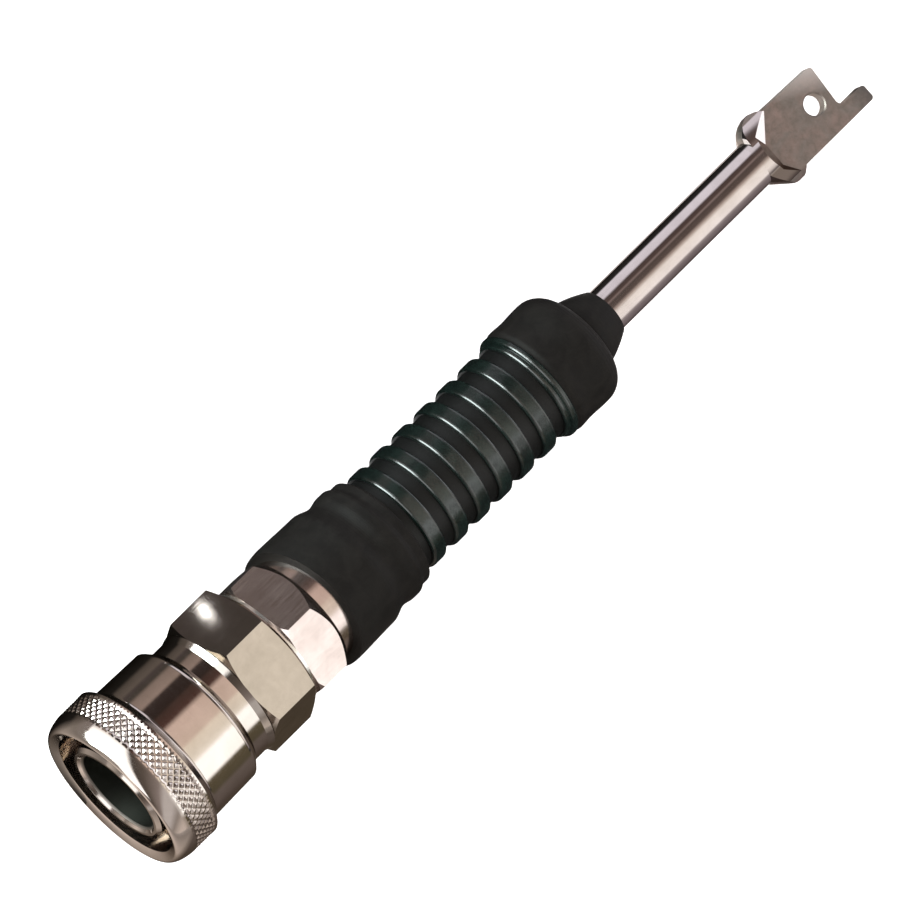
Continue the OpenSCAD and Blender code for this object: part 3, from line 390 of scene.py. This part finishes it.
def glowOf(g, level, colour=(1, 1, 1, 1)):
    glow = g.add("ShaderNodeEmission")
    g.feed(glow.inputs["Color"], colour)
    glow.inputs["Strength"].default_value = level
    g.feed(g.out.inputs["Surface"], glow.outputs[0])
    return g.material


for node, name in finishOf.items():
    dress(bpy.data.objects[node], finish[name])
print("finishes put on the nodes")

# the sleeve with its diamond knurl cut in, in millimetres
sleeveShape = {
    "crestR": 11.0, "fullR": 12.2, "crestX": -1.25, "fullX": 2.3,                 # rounded nose
    "bandEnd": 5.5, "slopeEnd": 6.5, "outR": 10.95, "backR": 10.75,               # knurled band, plain part
    "endX": 15.5, "chamfer": 1.2, "lipR": 9.52, "lipX": 14.35, "pocketR": 9.95,   # back end and spring pocket
    "landEnd": 7.4, "landR": 8.62, "rampEnd": 5.9,                                # what holds the balls in
    "recessR": 9.82, "rampStart": 3.5, "dishX": -0.7,
    "knurlFrom": 1.55, "knurlTo": 5.0, "knurlFade": 0.25,
    "diamonds": 64, "diamondLen": 1.15, "knurlDepth": 0.20,
    "edge": 0.05,          # about the width of a broken edge
    "keepFlat": 0.35,      # rings this near an edge keep the long faces' shading flat
    "sharpAngle": 32,
    "rounds": 640, "knurlRows": 30, "noseRows": 14,
}


def makeSleeve(shape):
    def pointOnNose(a):
        r = shape["crestR"] + (shape["fullR"] - shape["crestR"]) * math.sin(a)
        x = shape["fullX"] - (shape["fullX"] - shape["crestX"]) * math.cos(a)
        return r, x

    def outerR(x):
        if x >= shape["fullX"]:
            return shape["fullR"]
        a = math.acos((shape["fullX"] - x) / (shape["fullX"] - shape["crestX"]))
        return pointOnNose(a)[0]

    profile = []
    lastNose = math.acos((shape["fullX"] - shape["knurlFrom"]) / (shape["fullX"] - shape["crestX"]))
    for i in range(shape["noseRows"]):
        profile.append(pointOnNose(lastNose * i / shape["noseRows"]))
    for i in range(shape["knurlRows"] + 1):
        x = shape["knurlFrom"] + (shape["knurlTo"] - shape["knurlFrom"]) * i / shape["knurlRows"]
        profile.append((outerR(x), x))
    edge = shape["edge"]
    keepFlat = shape["keepFlat"]
    chamferX = shape["endX"] - shape["chamfer"]
    faceR = shape["backR"] - shape["chamfer"]
    profile += [   # out, along; small steps break the edges
        (shape["fullR"], shape["bandEnd"] - 0.08), (shape["fullR"] - 0.06, shape["bandEnd"]),
        (shape["outR"] + 0.04, shape["slopeEnd"] - 0.03), (shape["outR"], shape["slopeEnd"] + edge),
        (shape["outR"] - 0.01, shape["slopeEnd"] + keepFlat), (shape["backR"] + 0.01, chamferX - keepFlat),
        (shape["backR"], chamferX - edge), (shape["backR"] - 0.06, chamferX + 0.06),
        (faceR, shape["endX"] - 0.04), (faceR - 0.04, shape["endX"]),
        (shape["lipR"], shape["endX"]), (shape["lipR"], shape["lipX"]), (shape["pocketR"], shape["lipX"]),
        (shape["pocketR"], shape["landEnd"]), (shape["landR"], shape["landEnd"]),
        (shape["landR"], shape["rampEnd"]), (shape["recessR"], shape["rampStart"]),
        (shape["recessR"], shape["dishX"]), (shape["recessR"] + 0.06, shape["dishX"] - 0.04),
        (shape["crestR"] - 0.12, shape["crestX"] + 0.02),
    ]

    def cut(x, turn):
        if not shape["knurlFrom"] < x < shape["knurlTo"]:
            return 0
        fade = min(x - shape["knurlFrom"], shape["knurlTo"] - x) / shape["knurlFade"]
        u = turn * shape["diamonds"] / (2 * math.pi)
        v = (x - shape["knurlFrom"]) / shape["diamondLen"]
        nearest = min(abs((u + v) - round(u + v)), abs((u - v) - round(u - v)))
        return shape["knurlDepth"] * (1 - 2 * nearest) * min(fade, 1)

    mesh = bmesh.new()
    rounds = shape["rounds"]
    rings = []
    for r, x in profile:
        ring = []
        for k in range(rounds):
            turn = 2 * math.pi * k / rounds
            deep = r - (cut(x, turn) if r > shape["crestR"] else 0)
            ring.append(mesh.verts.new((x * mm, deep * math.sin(turn) * mm, deep * math.cos(turn) * mm)))
        rings.append(ring)
    for a, b in zip(rings, rings[1:] + rings[:1]):   # the last ring joins the first
        for k in range(rounds):
            n = (k + 1) % rounds
            face = mesh.faces.new((a[k], a[n], b[n], b[k]))
            face.smooth = True
    bmesh.ops.recalc_face_normals(mesh, faces=mesh.faces)
    data = bpy.data.meshes.new("knurledSleeve")
    mesh.to_mesh(data)
    mesh.free()
    sleeve = addObject("knurledSleeve", data)
    dress(sleeve, finish["sleeveNickel"])
    data.set_sharp_from_angle(angle=math.radians(shape["sharpAngle"]))
    return sleeve


sleeve = makeSleeve(sleeveShape)
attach(sleeve, "sleeve")
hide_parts("coupler_sleeve")
print("knurled sleeve made:", len(sleeve.data.polygons), "faces")

# the two springs, each copied onto its own coil piece on the lance; lengths in millimetres
springPlace = {
    "sleeve_spring": {"name": "sleeveSpringCoil", "joint": "sleeve_slide", "travel": 1.8, "fixedEnd": 12.75},
    "valve_spring": {"name": "valveSpringCoil", "joint": "valve_slide", "travel": 2.5, "fixedEnd": 19.0},
}


def makeSpring(node, place):
    coil = addObject(place["name"], bpy.data.objects[node].data.copy())
    dress(coil, finish["springSteel"])
    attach(coil, "lance")
    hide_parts(node)
    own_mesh(coil)


for node, place in springPlace.items():
    makeSpring(node, place)
print("springs made")

# pale floor, tilted so that the knurled band and the front boot both rest on it
floorPlace = {
    "touchBand": (3.9, -12.2), "touchBoot": (84.5, -8.56),   # millimetres along and up
    "size": 4.0,                                             # metres
    "colour": (0.86, 0.86, 0.86), "fleck": (0.8471, 0.8471, 0.8471), "fleckScale": 900,
    "glow": 0.90,
}


def makeFloor(place):
    (x0, z0), (x1, z1) = place["touchBand"], place["touchBoot"]
    slope = math.atan2(z1 - z0, x1 - x0)
    half = place["size"] / 2
    data = bpy.data.meshes.new("floor")
    corners = []
    for sx, sy in ((-1, -1), (1, -1), (1, 1), (-1, 1)):
        run = sx * half * math.cos(slope)
        rise = sx * half * math.sin(slope)
        corners.append((x0 * mm + run, sy * half, z0 * mm + rise))
    data.from_pydata(corners, [], [(0, 1, 2, 3)])
    floor = addObject("floor", data)
    g = Graph("floorPaper")
    paper = g.noise(g.place(), place["fleckScale"], detail=3)
    diffuse = g.add("ShaderNodeBsdfDiffuse")
    g.feed(diffuse.inputs["Color"], g.mix(paper, place["colour"], place["fleck"]))
    glow = g.add("ShaderNodeEmission")
    path = g.add("ShaderNodeLightPath")
    seen = g.math("MAXIMUM", path.outputs["Is Camera Ray"], path.outputs["Is Glossy Ray"])
    seen = g.math("MAXIMUM", seen, path.outputs["Is Transmission Ray"])
    g.feed(glow.inputs["Strength"], g.math("MULTIPLY", seen, place["glow"]))
    both = g.add("ShaderNodeAddShader")
    g.feed(both.inputs[0], diffuse.outputs[0])
    g.feed(both.inputs[1], glow.outputs[0])
    g.feed(g.out.inputs["Surface"], both.outputs[0])
    dress(floor, g.material)


makeFloor(floorPlace)

# a soft tent round the tool, out of the camera's sight, with dark cloth down to the floor, in metres.
# each band list gives glow colours by degrees from +Z, positive towards +Y
tentShape = {
    "radius": 0.45, "fromX": -0.75, "toX": 0.95, "sides": 120, "foot": 96, "clothLift": 0.0008,
    "holeY": 0.007, "holeFrom": -0.002, "holeTo": 0.142,   # no cloth right under the tool
    "reach": 150, "brightest": 2.1,
    "lampLean": -1.75, "lampFrom": -0.3,   # the lamps before the mouth lean round the tent
    "sightLean": 0.3,   # sideways run of a reflected sight line for each metre out from the tool
    "wallZones": {"mouth": (-0.115, -0.045), "grip": (0.068, 0.076),
                  "tube": (0.113, 0.122), "far": (0.325, 0.465)},
    "clothZones": {"mouth": (-0.016, -0.006), "grip": (0.042, 0.046),
                   "tube": (0.086, 0.090), "far": (0.35, 0.45)},
    "zoneBands": {"mouth": "overCoupler", "grip": "overGrip", "tube": "overTube", "far": "farEnd"},
    "overCoupler": [
        (-150, (0.25, 0.21, 0.18)), (-119, (0.22, 0.185, 0.155)), (-112, (0.19, 0.155, 0.14)),
        (-97, (0.20, 0.165, 0.15)), (-93, (0.13, 0.11, 0.07)), (-74, (0.16, 0.13, 0.08)),
        (-69, (1.9, 1.9, 1.87)), (-40, (1.95, 1.95, 1.93)), (-34, (1.35, 1.26, 1.12)),
        (-27, (1.2, 1.1, 0.95)), (-14, (1.25, 1.12, 0.95)), (-9, (1.02, 0.82, 0.70)),
        (20, (0.95, 0.74, 0.64)), (27, (0.11, 0.055, 0.045)), (41, (0.085, 0.05, 0.04)),
        (45, (0.04, 0.026, 0.022)), (63, (0.05, 0.034, 0.03)), (67, (0.44, 0.34, 0.295)),
        (84, (0.34, 0.265, 0.23)), (90, (0.08, 0.07, 0.058)), (96, (0.10, 0.08, 0.077)),
        (99, (0.18, 0.15, 0.13)), (107, (0.13, 0.11, 0.095)), (111, (0.02, 0.018, 0.016)),
        (150, (0.012, 0.011, 0.01)),
    ],
    "beforeMouth": [
        (-150, (1.20, 1.05, 0.95)), (-112, (0.80, 0.70, 0.63)), (-96, (0.38, 0.33, 0.30)),
        (-80, (0.75, 0.70, 0.68)), (-62, (0.75, 0.70, 0.68)), (-50, (0.36, 0.30, 0.28)),
        (-22, (0.16, 0.13, 0.11)), (-2, (0.10, 0.08, 0.07)), (6, (2.1, 2.1, 2.1)),
        (84, (2.1, 2.1, 2.1)), (88, (0.34, 0.29, 0.28)), (104, (0.32, 0.28, 0.25)),
        (150, (1.00, 0.89, 0.80)),
    ],
    "overGrip": [
        (-150, (0.02, 0.02, 0.02)), (-52, (0.05, 0.05, 0.05)), (-48, (0.9, 0.95, 0.95)),
        (-42, (0.9, 0.95, 0.95)), (-38, (0.16, 0.17, 0.17)), (0, (0.12, 0.14, 0.135)),
        (60, (0.10, 0.12, 0.115)), (100, (0.05, 0.06, 0.055)), (110, (0.01, 0.01, 0.01)),
        (150, (0.01, 0.01, 0.01)),
    ],
    "overTube": [
        (-150, (0.20, 0.17, 0.17)), (-96, (0.30, 0.25, 0.26)), (-82, (0.48, 0.42, 0.42)),
        (-72, (1.35, 1.26, 1.22)), (-30, (1.25, 1.16, 1.08)), (-15, (0.60, 0.48, 0.42)),
        (-3, (0.15, 0.11, 0.095)), (18, (0.12, 0.09, 0.08)), (26, (0.32, 0.24, 0.22)),
        (34, (0.12, 0.08, 0.07)), (50, (0.10, 0.07, 0.065)), (59, (0.98, 0.92, 1.0)),
        (95, (1.02, 0.97, 1.05)), (101, (0.03, 0.028, 0.027)), (150, (0.012, 0.011, 0.01)),
    ],
    "farEnd": [
        (-150, (0.10, 0.09, 0.08)), (-104, (0.14, 0.12, 0.11)), (-92, (2.0, 2.0, 2.08)),
        (-40, (2.0, 2.0, 2.1)), (30, (1.2, 1.16, 1.24)), (96, (1.0, 0.96, 1.04)),
        (104, (0.14, 0.12, 0.11)), (150, (0.10, 0.09, 0.08)),
    ],
}


# cloths and lamps are seen only in reflections
def stageCloth(name, mesh):
    data = bpy.data.meshes.new(name)
    mesh.to_mesh(data)
    mesh.free()
    cloth = addObject(name, data)
    cloth.visible_camera = False
    cloth.visible_shadow = False
    return cloth


# part of a round wall about the tool's axis, between two turns in degrees
def addArch(mesh, radius, turns, ends, sides):
    rows = []
    for i in range(sides + 1):
        turn = math.radians(turns[0] + (turns[1] - turns[0]) * i / sides)
        rows.append([mesh.verts.new((x, radius * math.sin(turn), radius * math.cos(turn))) for x in ends])
    for a, b in zip(rows, rows[1:]):
        mesh.faces.new((a[0], a[1], b[1], b[0]))
    return rows


def makeTent(shape):
    radius = shape["radius"]
    (x0, z0), (x1, z1) = floorPlace["touchBand"], floorPlace["touchBoot"]

    def clothZ(x):   # just above the tilted floor
        return z0 * mm + (x - x0 * mm) * (z1 - z0) / (x1 - x0) + shape["clothLift"]

    mesh = bmesh.new()
    turns = (-shape["foot"], shape["foot"])
    rows = addArch(mesh, radius, turns, (shape["fromX"], shape["toX"]), shape["sides"])
    for end in (0, 1):   # the tent's two end walls
        mesh.faces.new([row[end] for row in rows])
    tent = stageCloth("softTent", mesh)
    mesh = bmesh.new()
    holeY, holeFrom, holeTo = shape["holeY"], shape["holeFrom"], shape["holeTo"]
    for xa, xb, ya, yb in (   # dark cloth on the floor, open under the tool
        (shape["fromX"], shape["toX"], -radius, -holeY),
        (shape["fromX"], shape["toX"], holeY, radius),
        (shape["fromX"], holeFrom, -holeY, holeY),
        (holeTo, shape["toX"], -holeY, holeY),
    ):
        corners = ((xa, ya), (xb, ya), (xb, yb), (xa, yb))
        mesh.faces.new([mesh.verts.new((x, y, clothZ(x))) for x, y in corners])
    floorCloth = stageCloth("floorCloth", mesh)
    floorCloth.visible_diffuse = False
    dress(tent, makeCloth("tentWall", shape, shape["wallZones"]))
    dress(floorCloth, makeCloth("tentFoot", shape, shape["clothZones"]))


# glowing cloth whose bands change along the tool
def makeCloth(name, shape, zones):
    g = Graph(name)
    x, y, z = g.xyz()
    reach = shape["reach"]
    turn = g.math("ARCTAN2", y, z)

    def bands(listName, angle):
        along = g.spread(angle, math.radians(-reach), math.radians(reach))
        stops = []
        for degrees, colour in shape[listName]:
            stops.append(((degrees + reach) / (2 * reach), tuple(v / shape["brightest"] for v in colour)))
        return g.ramp(along, stops)

    mouthTurn = turn
    if name == "tentWall":
        fromLamps = g.math("SUBTRACT", x, shape["lampFrom"])
        mouthTurn = g.math("ADD", turn, g.math("MULTIPLY", fromLamps, shape["lampLean"]))
    mirroredFrom = g.math("SUBTRACT", x, g.math("MULTIPLY", g.outFromAxis(y, z), shape["sightLean"]))
    colour = bands("beforeMouth", mouthTurn)
    for zone, listName in shape["zoneBands"].items():
        colour = g.mix(g.spread(mirroredFrom, *zones[zone]), colour, bands(listName, turn))
    return glowOf(g, shape["brightest"], colour)


makeTent(tentShape)

# a small round lamp, mirrored in the upper flat of the larger hexagon
spotPlace = {
    "onFlat": (23.6, 9.25, 3.59), "flatTurn": 52.0,   # where it shows, millimetres and degrees
    "away": 0.055, "radius": 0.0008, "sides": 48, "level": 8.0,
}


def makeSpot(place):
    at = Vector(place["onFlat"]) * mm
    turn = math.radians(place["flatTurn"])
    normal = Vector((0, math.sin(turn), math.cos(turn)))
    sight = (at - bpy.context.scene.camera.matrix_world.translation).normalized()
    away = sight - 2 * sight.dot(normal) * normal
    mesh = bmesh.new()
    bmesh.ops.create_circle(mesh, cap_ends=True, segments=place["sides"], radius=place["radius"],
                            matrix=away.to_track_quat("Z", "Y").to_matrix().to_4x4())
    spot = stageCloth("spotLamp", mesh)
    spot.location = at + away * place["away"]
    spot.visible_diffuse = False
    dress(spot, glowOf(Graph("spotGlow"), place["level"]))


makeSpot(spotPlace)

# a narrow strip lamp before the mouth, seen in the ribs' shoulders and the knurl
stripPlace = {
    "radius": 0.40, "turns": (44, 95), "ends": (-0.40, -0.05), "sides": 24,
    "level": 14.0, "tint": (0.88, 1.0, 0.99, 1),
}


def makeStrip(place):
    mesh = bmesh.new()
    addArch(mesh, place["radius"], place["turns"], place["ends"], place["sides"])
    strip = stageCloth("stripLamp", mesh)
    strip.visible_diffuse = False
    dress(strip, glowOf(Graph("stripGlow"), place["level"], place["tint"]))


makeStrip(stripPlace)

# white where it is seen or mirrored, softer where it lights
worldLook = {"colour": (1, 1, 1, 1), "lights": 0.35, "shows": 1.0}


def makeWorld(look):
    world = bpy.data.worlds.new("studio")
    bpy.context.scene.world = world
    world.use_nodes = True
    tree = world.node_tree
    background = tree.nodes["Background"]
    background.inputs[0].default_value = look["colour"]
    path = tree.nodes.new("ShaderNodeLightPath")
    seen = tree.nodes.new("ShaderNodeMath")
    seen.operation = "MAXIMUM"
    tree.links.new(path.outputs["Is Camera Ray"], seen.inputs[0])
    tree.links.new(path.outputs["Is Glossy Ray"], seen.inputs[1])
    level = tree.nodes.new("ShaderNodeMapRange")
    level.inputs["To Min"].default_value = look["lights"]
    level.inputs["To Max"].default_value = look["shows"]
    tree.links.new(seen.outputs[0], level.inputs["Value"])
    tree.links.new(level.outputs["Result"], background.inputs[1])


makeWorld(worldLook)
print("floor, tent and world ready")
